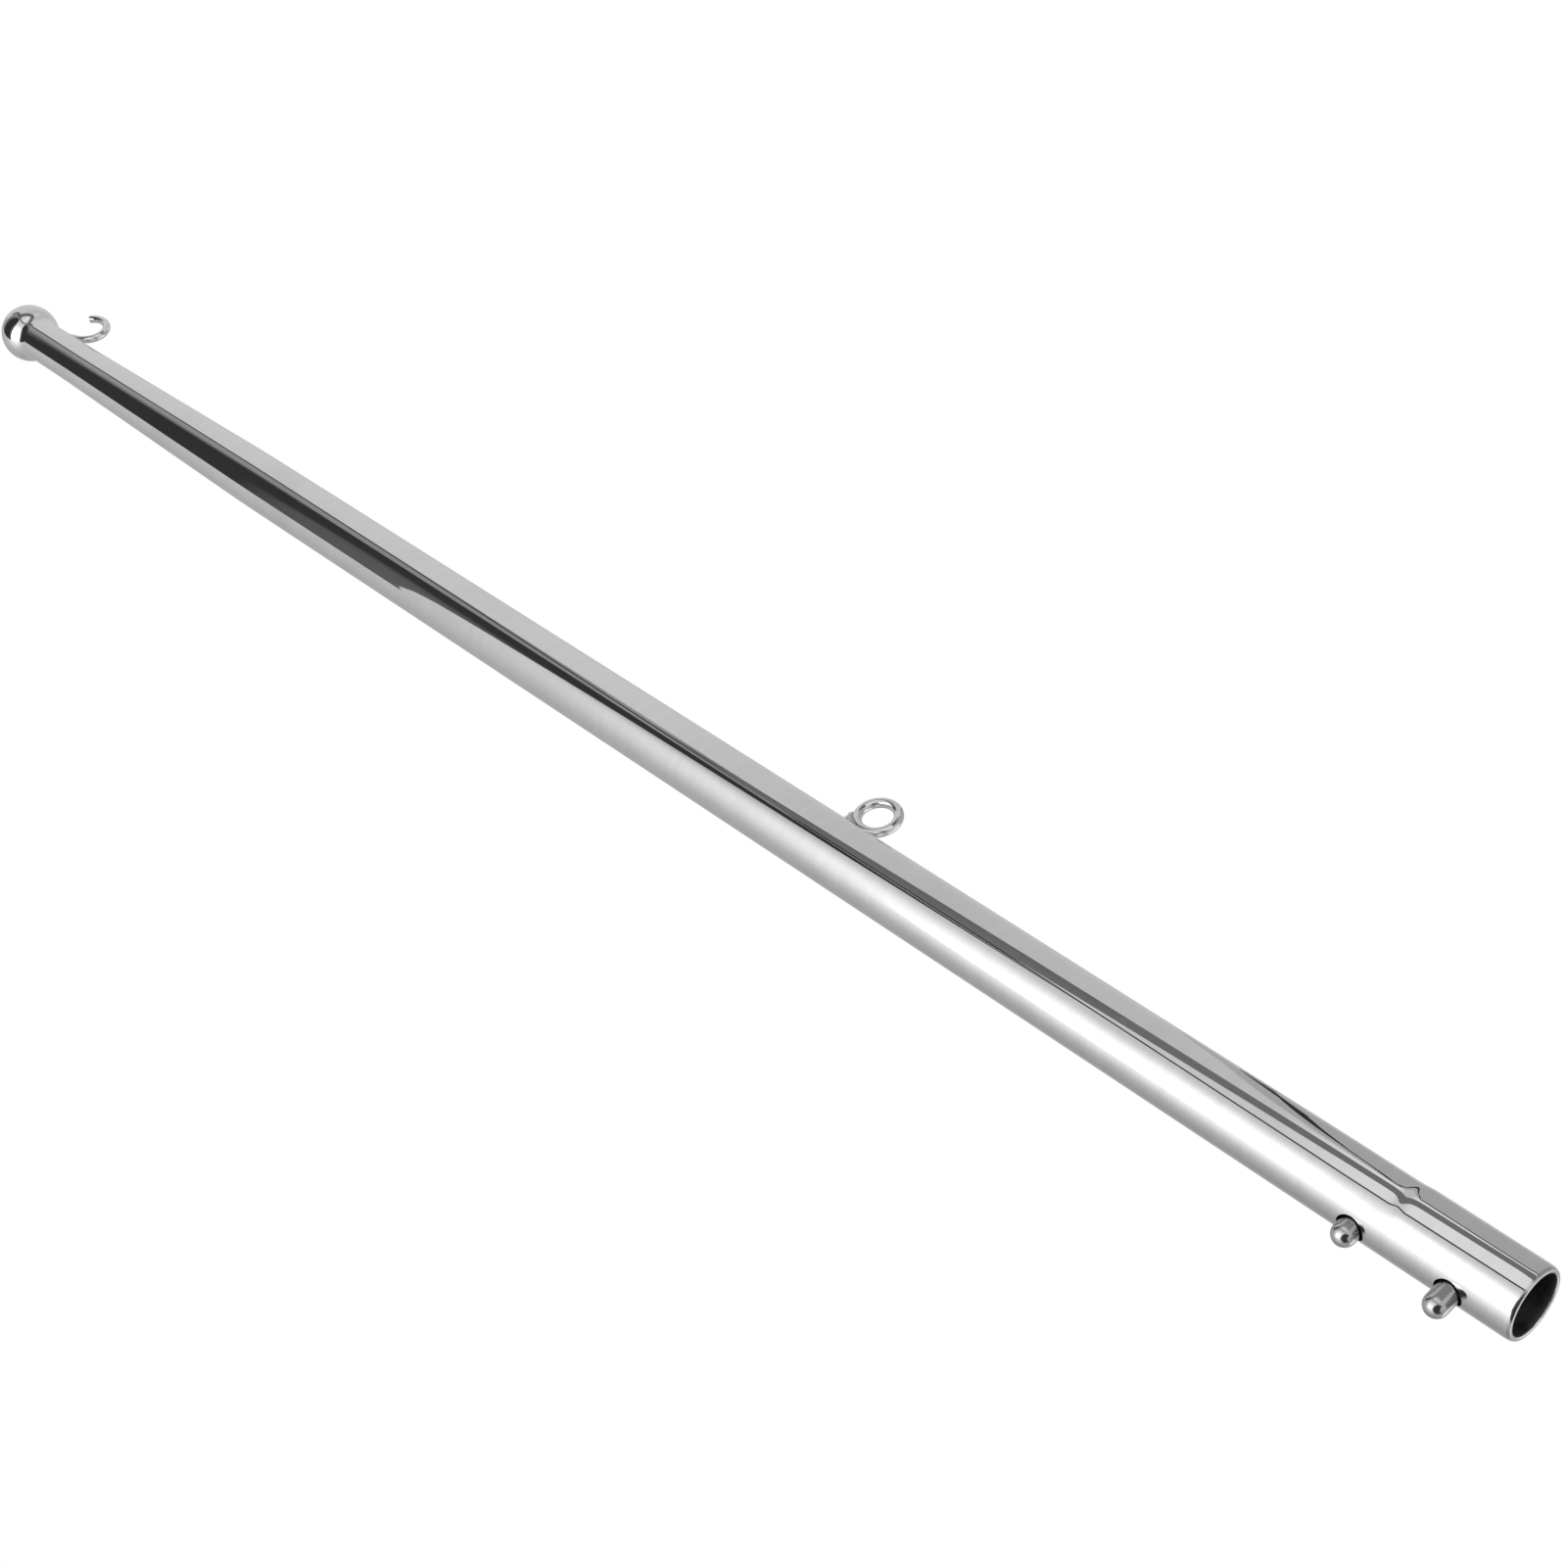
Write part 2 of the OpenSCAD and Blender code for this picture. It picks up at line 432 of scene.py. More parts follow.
def use_group(tree, name, **values):
    """Places a shared group in a tree. The group is built the first time it is asked for."""
    node = add(tree, "Group", node_tree=bpy.data.node_groups.get(name) or GROUPS[name]())
    for label, value in values.items():
        node.inputs[label.replace("_", " ")].default_value = value
    return node.outputs


# ---- materials ----


def polished_steel(tree, lines, smooth, rough, bump, edge=(0.52, 0.62)):
    """Mirror-polished stainless steel: faint lines, smudges, hairlines and worn edges."""
    grain = use_group(tree, "Polishing lines", **lines)
    marks = use_group(tree, "Handling marks", Smudge_Scale=24, Scratch_Scale=90, Amount=0.6)
    wear = use_group(tree, "Worn edges", Start=edge[0], End=edge[1])["Wear"]
    dull = math_node(tree, "MAXIMUM", marks["Smudge"], times(tree, grain["Mask"], 0.45))
    tone = mix_colour(tree, dull, finish().steel, finish().steel_dull)
    uneven = math_node(tree, "ADD", dull, times(tree, wear, 0.5), clamp=True)
    roughness = spread(tree, uneven, 0.0, 1.2, smooth, rough)
    height = math_node(
        tree, "SUBTRACT", times(tree, grain["Height"], 0.5), times(tree, marks["Scratch"], 0.4)
    )
    return tone, roughness, {"Height": height, "Strength": bump, "Distance": 0.00002}


def raw_steel(tree, base):
    """Unpolished steel: drawn lines along the tube and a dull skin of the given colour; on the
    holes' walls that colour is near black, painted shade.
    """
    grain = use_group(tree, "Polishing lines", Across=700, Along_Z=0.03, Contrast=0.6)
    marks = use_group(tree, "Handling marks", Smudge_Scale=60, Scratch_Scale=200, Amount=0.8)
    mask = times(tree, grain["Mask"], 0.7)
    tone = mix_colour(tree, mask, base, darker(base, 0.55))
    worn = math_node(tree, "ADD", mask, marks["Smudge"], clamp=True)
    roughness = spread(tree, worn, 0.0, 1.0, 0.42, 0.58)
    return tone, roughness, {"Height": grain["Height"], "Strength": 0.15, "Distance": 0.00005}


def brushed_steel(tree, base, smooth, rough, lines, bump, depth=0.72):
    """Satin steel with lines from turning or brushing, and brighter edges."""
    grain = use_group(tree, "Polishing lines", **lines)
    marks = use_group(tree, "Handling marks", Smudge_Scale=150, Scratch_Scale=500, Amount=0.25)
    wear = use_group(tree, "Worn edges", Start=0.6, End=0.75, Break_Up=900)["Wear"]
    lined = mix_colour(tree, grain["Mask"], base, darker(base, depth))
    tone = mix_colour(tree, wear, lined, finish().steel)
    worn = math_node(tree, "ADD", grain["Mask"], marks["Smudge"], clamp=True)
    roughness = spread(tree, worn, 0.0, 1.0, smooth, rough)
    return tone, roughness, {"Height": grain["Height"], "Strength": bump, "Distance": 0.00004}


def darker(base, share):
    return [channel * share for channel in base[:3]] + [1]


# Each finish: its kind of steel, the colour that it starts from, and its values
FINISHES = {
    "Polished tube": (polished_steel, None, dict(
        lines=dict(Across=1400, Along_X=0.06, Along_Y=0.06, Along_Z=1.0, Contrast=0.4),
        smooth=0.015, rough=0.06, bump=0.12)),
    "Polished ball": (polished_steel, None, dict(
        lines=dict(Across=900, Along_X=0.2, Along_Y=0.2, Along_Z=1.0, Contrast=0.4),
        smooth=0.015, rough=0.05, bump=0.06)),
    "Polished wire": (polished_steel, None, dict(
        lines=dict(Across=900, Along_Y=0.3, Along_Z=0.6, Contrast=0.5),
        smooth=0.01, rough=0.05, bump=0.03, edge=(0.66, 0.8))),
    "Drawn bore": (raw_steel, "bore", {}),
    # The holes' walls: raw steel on a near-black colour, which is painted shade in the gap round
    # the buttons.
    "Drilled edge": (raw_steel, "drilled", {}),
    "Brushed weld": (brushed_steel, "weld", dict(
        lines=dict(Across=900, Along_Z=0.5, Contrast=0.6),
        smooth=0.1, rough=0.24, bump=0.08, depth=0.8)),
    "Turned button": (brushed_steel, "button", dict(
        lines=dict(Across=1300, Along_X=0.03, Along_Z=1.0, Contrast=0.6),
        smooth=0.19, rough=0.27, bump=0.08, depth=0.8)),
    "Polished dome": (brushed_steel, "button", dict(
        lines=dict(Across=1300, Along_X=0.1, Along_Z=1.0, Contrast=0.7),
        smooth=0.13, rough=0.2, bump=0.03, depth=0.85)),
    "Cut rim": (brushed_steel, "steel", dict(
        lines=dict(Across=190, Along_Z=0.1, Contrast=0.3),
        smooth=0.08, rough=0.2, bump=0.05, depth=0.6)),
    "Spring wire": (brushed_steel, "spring", dict(
        lines=dict(Across=2500, Along_Z=1.0, Contrast=0.5), smooth=0.2, rough=0.35, bump=0.2)),
}


def material_of(name):
    """The material of that name, built the first time it is asked for."""
    if name in bpy.data.materials:
        return bpy.data.materials[name]
    material = bpy.data.materials.new(name)
    tree = empty_tree(material)
    kind, base, values = FINISHES[name]
    if base:
        values = {"base": getattr(finish(), base), **values}
    tone, roughness, bump = kind(tree, **values)
    relief = add(tree, "Bump", bump).outputs[0]
    values = {"Metallic": 1.0, "Base Color": tone, "Roughness": roughness, "Normal": relief}
    show(tree, add(tree, "BsdfPrincipled", values).outputs[0])
    return material


# ---- the pole ----

FOOT_STRETCH = 0.072  # height over the foot that the rolled ring shapes
RING_REACH = 0.007  # how far the close rows reach above and below the ring
RING_START, RING_FULL = 224, 240  # side on which the ring begins and is full, in degrees
RING_FADE, RING_END = 360, 400  # side on which it fades and is gone
ROW, CLOSE_ROW, BORE_ROW, LONG_ROW = 0.004, 0.0004, 0.006, 0.045  # greatest height of a row
BORE_FOOT = 0.005  # height at which the bore begins to roll in
# How the mouth rolls in, as (share of its depth, height)
MOUTH = ((0.25, 0.0038), (0.8, 0.0022), (1.0, 0.0012), (1.0, 0.0))
# The slot for the holes' walls holds their painted shade, a near-black colour.
OUTSIDE, BORE, SHADED_HOLE, RIM = range(4)  # the tube's materials
TUBE_FINISHES = ("Polished tube", "Drawn bore", "Drilled edge", "Cut rim")


def clamped(value):
    return min(max(value, 0), 1)


def blended(points, length_of_blend, steps):
    """Rounds the corners of an outline's inner points over a length, as a drawn tube bends."""
    result = [points[0]]
    for corners in zip(points, points[1:], points[2:]):
        before, corner, after = map(Vector, corners)
        start = corner + (before - corner).normalized() * length_of_blend
        end = corner + (after - corner).normalized() * length_of_blend
        for i in range(steps + 1):
            t = i / steps
            result.append(tuple((1 - t) ** 2 * start + 2 * t * (1 - t) * corner + t * t * end))
    return result + [points[-1]]


def rolled_step(z):
    """How far the tube stands out near the foot: it swells up to the ring, and steps in there."""
    s = sizes()
    if z >= FOOT_STRETCH:
        return 0.0
    over = 1 / (1 + math.exp(-(z - s.ring_height) / s.ring_width))
    below = z / s.ring_height
    above = (z - s.ring_height) / (FOOT_STRETCH - s.ring_height) - 1
    return s.ring_step / 2 * ((1 - over) * below + over * above)


def tube_outline():
    """The wall's section as (radius, height) points, from the foot's outer edge round to itself."""
    s = sizes()
    outer, inner = s.tube_radius, s.tube_radius - s.wall
    neck_inner = s.neck_radius - s.wall
    top = TUBE[1].z
    neck_foot = BALL[1].z - BALL[1].x - s.neck_length
    taper_foot = neck_foot - s.taper_length
    ring_foot, ring_top = s.ring_height - RING_REACH, s.ring_height + RING_REACH
    outside = []
    for i in range(10):
        t = QUARTER_TURN * i / 9
        inwards, up = 1 - math.sin(t), 1 - math.cos(t)
        outside.append((outer - s.lip_depth * inwards, s.lip_length * up))
    outside += split_evenly((outer, s.lip_length), (outer, ring_foot), ROW)
    outside += split_evenly((outer, ring_foot), (outer, ring_top), CLOSE_ROW)
    outside += split_evenly((outer, ring_top), (outer, FOOT_STRETCH), ROW)
    drawn = [(outer, FOOT_STRETCH), (outer, taper_foot)]
    drawn += [(s.neck_radius, neck_foot), (s.neck_radius, top)]
    drawn = blended(drawn, s.taper_blend, 8)
    for here, there in zip(drawn, drawn[1:]):
        outside += split_evenly(here, there, LONG_ROW)
    inside = [(neck_inner, top), (neck_inner, neck_foot)]
    inside += [(inner, taper_foot), (inner, FOOT_STRETCH)]
    inside += split_evenly((inner, FOOT_STRETCH), (inner, BORE_FOOT), BORE_ROW)
    inside += [(inner - s.mouth * share, height) for share, height in MOUTH]
    return outside + inside + [outside[0]]


class FLAGPOLE_OT_tube(bpy.types.Operator):
    """The polished tube with its drawn-down neck, rounded foot and two button holes"""

    bl_idname = "flagpole.tube"
    bl_label = "Pole tube"

    def execute(self, context):
        s = sizes()
        points = [Vector((radius, 0, z)) for radius, z in tube_outline()]
        tube = turn_outline("tube", points, 192, (0, 0, 0), Z_AXIS)
        mouth = s.tube_radius - s.wall - s.mouth

        def at_mouth(p):
            return abs(p.z) < MERGE and abs(radius_of(p) - mouth) < 0.00005

        soften_edges(tube, at_mouth, s.lip_inner, 5)
        self.roll_ring(tube)
        for box in BUTTONS.values():
            drill = start_with(
                bpy.ops.mesh.primitive_cylinder_add, vertices=96, radius=s.hole_radius,
                depth=s.tube_radius, location=(-s.tube_radius, 0, height_of(box)),
                rotation=(0, QUARTER_TURN, 0),
            )
            combine(tube, "DIFFERENCE", drill)
        give_materials(tube, *TUBE_FINISHES)
        for face in tube.data.polygons:
            face.material_index = self.finish_of(face)
        hand_over(tube, "pole", "pole", "polished_tube", "pole_tube")
        return {"FINISHED"}

    def roll_ring(self, tube):
        """Presses the faint rolled ring into the side that faces away from the buttons."""
        s = sizes()
        for vertex in tube.data.vertices:
            radius = radius_of(vertex.co)
            if radius > s.tube_radius - s.wall / 3 and vertex.co.z < FOOT_STRETCH:
                side = math.degrees(math.atan2(vertex.co.y, vertex.co.x))
                side = (side - (RING_END - 360)) % 360 + (RING_END - 360)
                share = clamped((side - RING_START) / (RING_FULL - RING_START))
                share *= clamped((RING_END - side) / (RING_END - RING_FADE))
                grown = 1 + rolled_step(vertex.co.z) * share * share * (3 - 2 * share) / radius
                vertex.co.x *= grown
                vertex.co.y *= grown

    def finish_of(self, face):
        """The holes' walls are painted near black as shade, the bore is unpolished, and the foot's
        end is a cut rim.
        """
        s = sizes()
        middle, radius = face.center, radius_of(face.center)
        if middle.x < 0 and radius < s.tube_radius - 0.00005 and abs(face.normal.x) < 0.5:
            for box in BUTTONS.values():
                reach = math.hypot(middle.y, middle.z - height_of(box))
                if abs(reach - s.hole_radius) < 0.0001:
                    return SHADED_HOLE
        looks_in = face.normal.dot(Vector((middle.x, middle.y, 0))) < 0
        if looks_in and radius < s.tube_radius - s.wall + 0.00002 and middle.z > s.lip_inner:
            return BORE
        return RIM if face.normal.z < -0.3 and middle.z < 0.001 else OUTSIDE


class FLAGPOLE_OT_ball(bpy.types.Operator):
    """The ball on the neck, with the fillet that runs into it"""

    bl_idname = "flagpole.ball"
    bl_label = "Ball"

    def execute(self, context):
        s = sizes()
        ball_radius = BALL[1].x
        ball_z = BALL[1].z - ball_radius
        fillet_x = s.neck_radius + s.ball_fillet
        foot = ball_z - math.sqrt((ball_radius + s.ball_fillet) ** 2 - fillet_x**2)
        lean = math.degrees(math.atan2(ball_z - foot, -fillet_x))
        fillet = arc((fillet_x + 0.00001, foot), s.ball_fillet, 180, lean, 24)
        crown = arc((0, ball_z), ball_radius, lean - 180, 90, 90)
        spigot_radius = s.neck_radius - s.wall - 0.0001
        spigot = [(0, BALL[0].z), (spigot_radius, BALL[0].z), (spigot_radius, foot)]
        outline = spigot + fillet + crown[1:-1] + [(0, BALL[1].z)]
        points = [Vector((radius, 0, z)) for radius, z in outline]
        ball = turn_outline("ball", points, 128, (0, 0, 0), Z_AXIS)
        give_materials(ball, "Polished ball")
        hand_over(ball, "ball", "pole", "polished_ball", "ball_finial")
        return {"FINISHED"}


# ---- hook and eye ----

# The hook's root, as (share of its length up the neck, share of the wire's radius)
HOOK_ROOT = (
    (1.0, 0.12), (0.85, 0.26), (0.7, 0.38), (0.57, 0.47), (0.42, 0.54), (0.27, 0.62), (0.1, 0.73),
)
ROOT_OUT = 0.98  # how far the root's middle stands out from the neck, as a share of its radius
BEND_SHARE, BEND_GROWTH = 0.78, 0.022  # share of the radius where the bend begins, and its growth
BEND_STEPS = 46


def hook_foot():
    """The height at which the hook's bend begins."""
    return HOOK[0].z + sizes().wire_radius + sizes().hook_depth


def hook_path(trim=0.0):
    """The hook's wire from its root to its free end: (middle, heading, radius) at each step."""
    s = sizes()
    radius, half_width, foot_z = s.wire_radius, s.hook_width / 2, hook_foot()
    middle_x = HOOK[0].x + radius + half_width
    path = []
    for up, share in HOOK_ROOT:
        point = Vector((s.neck_radius + radius * share * ROOT_OUT, 0, foot_z + s.hook_root * up))
        path.append((point, Vector((0, 0, -1)), radius * share))
    for i in range(BEND_STEPS + 1):
        t = math.pi + (math.pi + s.hook_curl) * i / BEND_STEPS
        across, up = math.cos(t), math.sin(t)
        point = Vector((middle_x + half_width * across, 0, foot_z + s.hook_depth * up))
        heading = Vector((-half_width * up, 0, s.hook_depth * across)).normalized()
        share = min(BEND_SHARE + BEND_GROWTH * i, 1.0)
        path.append((point - X_AXIS * radius * (1 - share), heading, radius * share))
    return [(point, heading, radius - trim) for point, heading, radius in path]


def draw_wire(name, path, sides):
    """A round wire: a disc extruded along the path, turned and resized a little at each step."""
    point, heading, radius = path[0]
    wire = start_with(
        bpy.ops.mesh.primitive_circle_add, vertices=sides, radius=radius, fill_type="NGON",
        location=point, rotation=heading.to_track_quat("Z", "X").to_euler(),
    )
    wire.name = name
    place_in_mesh(wire)
    to_mode("EDIT")
    bpy.ops.mesh.select_mode(type="FACE")
    bpy.ops.mesh.select_all(action="SELECT")
    for (here, before, thin), (there, after, thick) in zip(path, path[1:]):
        bpy.ops.mesh.extrude_region_move(TRANSFORM_OT_translate={"value": there - here})
        turn = math.atan2(before.cross(after).y, before.dot(after))
        if abs(turn) > MERGE:
            bpy.ops.transform.rotate(value=-turn, orient_axis="Y", center_override=there)
        if abs(thick - thin) > MERGE:
            grow = thick / thin
            bpy.ops.transform.resize(value=(grow, grow, grow), center_override=there)
    clean_mesh()
    return wire


class FLAGPOLE_OT_hook(bpy.types.Operator):
    """The open wire hook at the top"""

    bl_idname = "flagpole.hook"
    bl_label = "Hook"

    def execute(self, context):
        path = hook_path()
        hook = draw_wire("hook", path, 40)
        end, heading, radius = path[-1]
        soften_edges(hook, lambda p: abs((p - end).dot(heading)) < MERGE, 0.00018, 3)
        give_materials(hook, "Polished wire")
        hand_over(hook, "hook", "pole", "polished_wire", "flag_hook")
        return {"FINISHED"}


def eye_circle():
    """The middle of the eye's ring, and the radius out to the wire's middle."""
    return (EYE[0] + EYE[1]) / 2, (EYE[1].x - EYE[0].x) / 2 - sizes().wire_radius


class FLAGPOLE_OT_eye(bpy.types.Operator):
    """The closed wire ring, lower down on the hook's side"""

    bl_idname = "flagpole.eye"
    bl_label = "Eye"

    def execute(self, context):
        middle, reach = eye_circle()
        eye = start_with(
            bpy.ops.mesh.primitive_circle_add, vertices=40, radius=sizes().wire_radius,
            location=(middle.x + reach, 0, middle.z),
        )
        place_in_mesh(eye)
        to_mode("EDIT")
        spin_round(120, middle, Y_AXIS)
        give_materials(eye, "Polished wire")
        hand_over(eye, "eye", "pole", "polished_wire", "flag_eye")
        return {"FINISHED"}


# ---- welds ----

VOXEL = 0.00016  # size of the cells in which weld metal is melted together
# The web between the eye and the tube, as (up from the eye's middle, out from the tube, radius)
EYE_WEB = (
    (0.0099, -0.0006, 0.0016), (0.0084, 0.0002, 0.0017), (0.0083, 0.0013, 0.0015),
    (0.0083, 0.0024, 0.0014), (0.0083, 0.0034, 0.0013), (0.0084, 0.0044, 0.0011),
    (0.0072, 0.0026, 0.0013), (0.0066, 0.0014, 0.0015), (0.0064, 0.0003, 0.0016),
    (0.0048, 0.0003, 0.0014), (-0.0045, 0.0003, 0.0013), (-0.0058, 0.0008, 0.0013),
)
# The drops beside the web, as (up, out, to the side)
EYE_SIDES = (
    (0.0082, 0.0042, 0.0009), (0.0076, 0.003, 0.0012), (0.0066, 0.0017, 0.0015),
    (0.0052, 0.0008, 0.0018),
)


def melt(name, parts, passes):
    """Joins closed shapes into one skin and softens it, so that metal gathers in the corners."""
    deselect_all()
    for part in parts:
        part.select_set(True)
    bpy.context.view_layer.objects.active = parts[0]
    bpy.ops.object.join()
    melted = bpy.context.object
    melted.name = name
    place_in_mesh(melted)
    add_modifier(melted, "REMESH", mode="VOXEL", voxel_size=VOXEL)
    add_modifier(melted, "SMOOTH", factor=0.5, iterations=passes)
    give_materials(melted, "Brushed weld")
    return melted


def keep_inside(obj, low, high):
    """Cuts obj down to what lies between two corners."""
    low, high = Vector(low), Vector(high)
    block = start_with(
        bpy.ops.mesh.primitive_cube_add, size=1, location=(low + high) / 2, scale=high - low
    )
    return combine(obj, "INTERSECT", block)


def wall_patch(radius, low, high):
    """A piece of the tube's wall, a hair under its surface."""
    wall = start_with(
        bpy.ops.mesh.primitive_cylinder_add, vertices=256, radius=radius - VOXEL,
        depth=high[2] - low[2] + 0.01, location=(0, 0, (low[2] + high[2]) / 2),
    )
    return keep_inside(wall, low, high)


def drops(surface, height, rows):
    """Drops of weld metal, from rows of (up, out from the surface, to the side, radii)."""
    made = []
    for up, out, aside, radii in rows:
        drop = start_with(
            bpy.ops.mesh.primitive_uv_sphere_add, segments=32, ring_count=16, radius=1,
            location=(surface + out, aside, height + up), scale=radii,
        )
        place_in_mesh(drop)
        made.append(drop)
    return made


class FLAGPOLE_OT_welds(bpy.types.Operator):
    """The welds that hold the hook and the eye"""

    bl_idname = "flagpole.welds"
    bl_label = "Welds"

    def execute(self, context):
        self.eye_weld()
        self.hook_weld()
        return {"FINISHED"}

    def eye_weld(self):
        """A ridge on each side of the ring, a long web towards the ball and a short blunt end."""
        surface = sizes().tube_radius
        middle, reach = eye_circle()
        low = (surface - 0.0013, -0.0046, middle.z - 0.0095)
        patch = wall_patch(surface, low, (0.02, 0.0046, middle.z + 0.014))
        ring = start_with(
            bpy.ops.mesh.primitive_torus_add, major_radius=reach,
            minor_radius=sizes().wire_radius - 0.00014, major_segments=120, minor_segments=32,
            location=middle, rotation=(QUARTER_TURN, 0, 0),
        )
        high = (middle.x - 0.0022, 0.01, middle.z + 0.009)
        keep_inside(ring, (0, -0.01, middle.z - 0.0075), high)
        rows = [
            (-0.003 + 0.0021 * i, -0.0001, side * 0.0019, (0.001, 0.0009, 0.0017))
            for side in (-1, 1) for i in range(5)
        ]
        rows += [(up, out, 0, (size, size * 1.1, size)) for up, out, size in EYE_WEB]
        rows += [
            (up, out, side * aside, (0.0012, 0.001, 0.0013))
            for side in (-1, 1) for up, out, aside in EYE_SIDES
        ]
        rows.append((0.0087, 0.0052, 0, (0.0011, 0.0012, 0.001)))
        rows.append((-0.0071, 0.0009, -0.0004, (0.0016, 0.0016, 0.0006)))
        weld = melt("eye_weld_skin", [patch, ring] + drops(surface, middle.z, rows), 14)
        hand_over(weld, "eye_weld_skin", "pole", "weld_bead", "eye_weld")

    def hook_weld(self):
        """A ridge on each side of the root, and metal with a blunt end between neck and wire."""
        surface = sizes().neck_radius
        height = hook_foot()
        low = (surface - 0.0013, -0.0038, height - 0.0085)
        patch = wall_patch(surface, low, (0.02, 0.0038, height + 0.012))
        root = draw_wire("root", hook_path(0.00012)[:22], 32)
        rows = []
        for side in (-1, 1):
            for i in range(5):
                size = 0.0011 - 0.0001 * i
                rows.append((-0.003 + 0.0024 * i, 0.0001, side * 0.0013, (size, size, 0.0018)))
        rows.append((0.009, 0, 0, (0.0006, 0.0011, 0.0026)))
        for i in range(4):
            rows.append((-0.0012 * (i + 1), 0.0004 + 0.0003 * i, 0, (0.0013, 0.0014, 0.0012)))
        rows.append((-0.0063, 0.0014, -0.0003, (0.0014, 0.0014, 0.0006)))
        weld = melt("hook_weld_skin", [patch, root] + drops(surface, height, rows), 12)
        hand_over(weld, "hook_weld_skin", "pole", "weld_bead", "hook_weld")


# ---- buttons and springs ----

GUIDE_STEP = 0.0019  # how much smaller the guide's radius is than the stem's
DOME_SHARE = 0.9  # share of the dome's height that has the dome's finish


def button_outline(box):
    """A button's section as (reach from the axis, radius) points, from tip to guide."""
    s = sizes()
    guide_end = -box[1].x
    shoulder_end = guide_end + s.guide_length
    shoulder_top = shoulder_end + s.shoulder
    shoulder_radius = (box[1].z - box[0].z) / 2
    guide_radius = s.button_radius - GUIDE_STEP
    dome = arc((-box[0].x - s.button_radius, 0), s.button_radius, 0, 90, 20)
    stem = split_evenly(dome[-1], (shoulder_top, s.button_radius), 0.001)
    return dome + stem + [
        (shoulder_top, shoulder_radius), (shoulder_end, shoulder_radius),
        (shoulder_end, guide_radius), (guide_end, guide_radius), (guide_end, 0.0),
    ]


class FLAGPOLE_OT_buttons(bpy.types.Operator):
    """The two domed spring buttons"""

    bl_idname = "flagpole.buttons"
    bl_label = "Buttons"

    def execute(self, context):
        for name, box in BUTTONS.items():
            height = height_of(box)
            points = [Vector((-reach, 0, height + radius)) for reach, radius in button_outline(box)]
            button = turn_outline("button", points, 72, (0, 0, height), X_AXIS)
            soften_edges(button, lambda p: abs(p.x - box[1].x) < MERGE, 0.0003, 2)
            give_materials(button, "Turned button", "Polished dome")
            dome_foot = box[0].x + sizes().button_radius * DOME_SHARE
            for face in button.data.polygons:
                face.material_index = 1 if face.center.x < dome_foot else 0
            hand_over(button, name + "_turned", name, "turned_button", name)
        return {"FINISHED"}


class FLAGPOLE_OT_springs(bpy.types.Operator):
    """The coil springs that push the buttons out"""

    bl_idname = "flagpole.springs"
    bl_label = "Springs"

    def execute(self, context):
        s = sizes()
        wire = s.spring_wire / 2
        for name, box in SPRINGS.items():
            travel = getattr(s, name.replace("spring", "travel"))
            height = height_of(box)
            reach = (box[1].z - box[0].z) / 2 - wire
            run = (box[1].x - box[0].x - s.spring_wire) / s.spring_turns
            spring = start_with(
                bpy.ops.mesh.primitive_circle_add, vertices=12, radius=wire, fill_type="NGON",
                location=(0, 0, 0),
            )
            to_mode("EDIT")
            bpy.ops.mesh.select_all(action="SELECT")
            bpy.ops.transform.rotate(value=QUARTER_TURN, orient_axis="X", center_override=(0, 0, 0))
            bpy.ops.transform.translate(value=(reach, 0, 0))
            to_mode("OBJECT")
            add_modifier(
                spring, "SCREW", axis="Z", screw_offset=run, iterations=s.spring_turns,
                steps=36, render_steps=36,
            )
            spring.rotation_euler = (0, QUARTER_TURN, 0)
            spring.location = (box[0].x + wire, 0, height)
            place_in_mesh(spring)
            to_mode("EDIT")
            clean_mesh()
            give_materials(spring, "Spring wire")
            hand_over(spring, name + "_coil", "pole", "spring_wire", name)
            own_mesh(spring)
        return {"FINISHED"}


# ---- the studio ----


def polar(azimuth, distance, height):
    """A point in the studio, in degrees from +X and in metres from the pole's axis."""
    turn = math.radians(azimuth)
    return Vector((distance * math.cos(turn), distance * math.sin(turn), height))


def at(distance, *pairs):
    """Places at one distance, from (azimuth, height) pairs."""
    return [(azimuth, distance, height) for azimuth, height in pairs]


def moved(places, turn=0, height=None):
    """The same places, turned round the pole or brought to one height."""
    return [(a + turn, distance, h if height is None else height) for a, distance, h in places]


def panel(start, end, distance, low, high, steps=12):
    """The foot and the top of an upright card that follows a circle round the pole."""
    turns = [start + (end - start) * i / steps for i in range(steps + 1)]
    return [[(turn, distance, height) for turn in turns] for height in (low, high)]


# Places in the studio as (azimuth in degrees, distance, height), or as pairs without the distance
FLAG_FOOT = [
    (180, 0.495, 1.085), (198, 0.48, 1.064), (215, 0.497, 1.048), (230, 0.6, 1.038),
    (240, 0.72, 1.036), (250, 1.17, 1.133), (258, 1.92, 1.35), (263, 2.7, 1.62),
]
FLAG_INNER = [
    (180, 0.0, 1.125), (198, 0.0, 1.12), (215, 0.0, 1.115), (230, 0.0, 1.11),
    (240, 0.0, 1.11), (250, 0.07, 1.16), (258, 0.16, 1.18), (263, 0.41, 1.22),
]
FLAG_RIM = [
    (181, 0.492, 1.081), (198, 0.477, 1.06), (215, 0.494, 1.044), (230, 0.596, 1.034),
    (240, 0.7, 1.032),
]
FLAG_RIM_INNER = [
    (181, 0.31, 1.09), (198, 0.3, 1.07), (215, 0.3, 1.06), (230, 0.36, 1.05), (240, 0.45, 1.05),
]
DRAPE_NEAR = at(2.4, (292, -1.4), (293, 0.6), (295.5, 0.79), (289, 1.0), (283, 1.22), (275, 1.43))
DRAPE_FAR = at(
    2.4, (310, -1.4), (311, 0.6), (311.5, 0.79), (307.5, 1.0), (305.5, 1.22), (302, 1.43),
)
FOLD_NEAR = at(2.4, (275, 1.43), (268, 1.6), (263, 1.75), (262, 2.0), (262, 2.25), (263, 2.55))
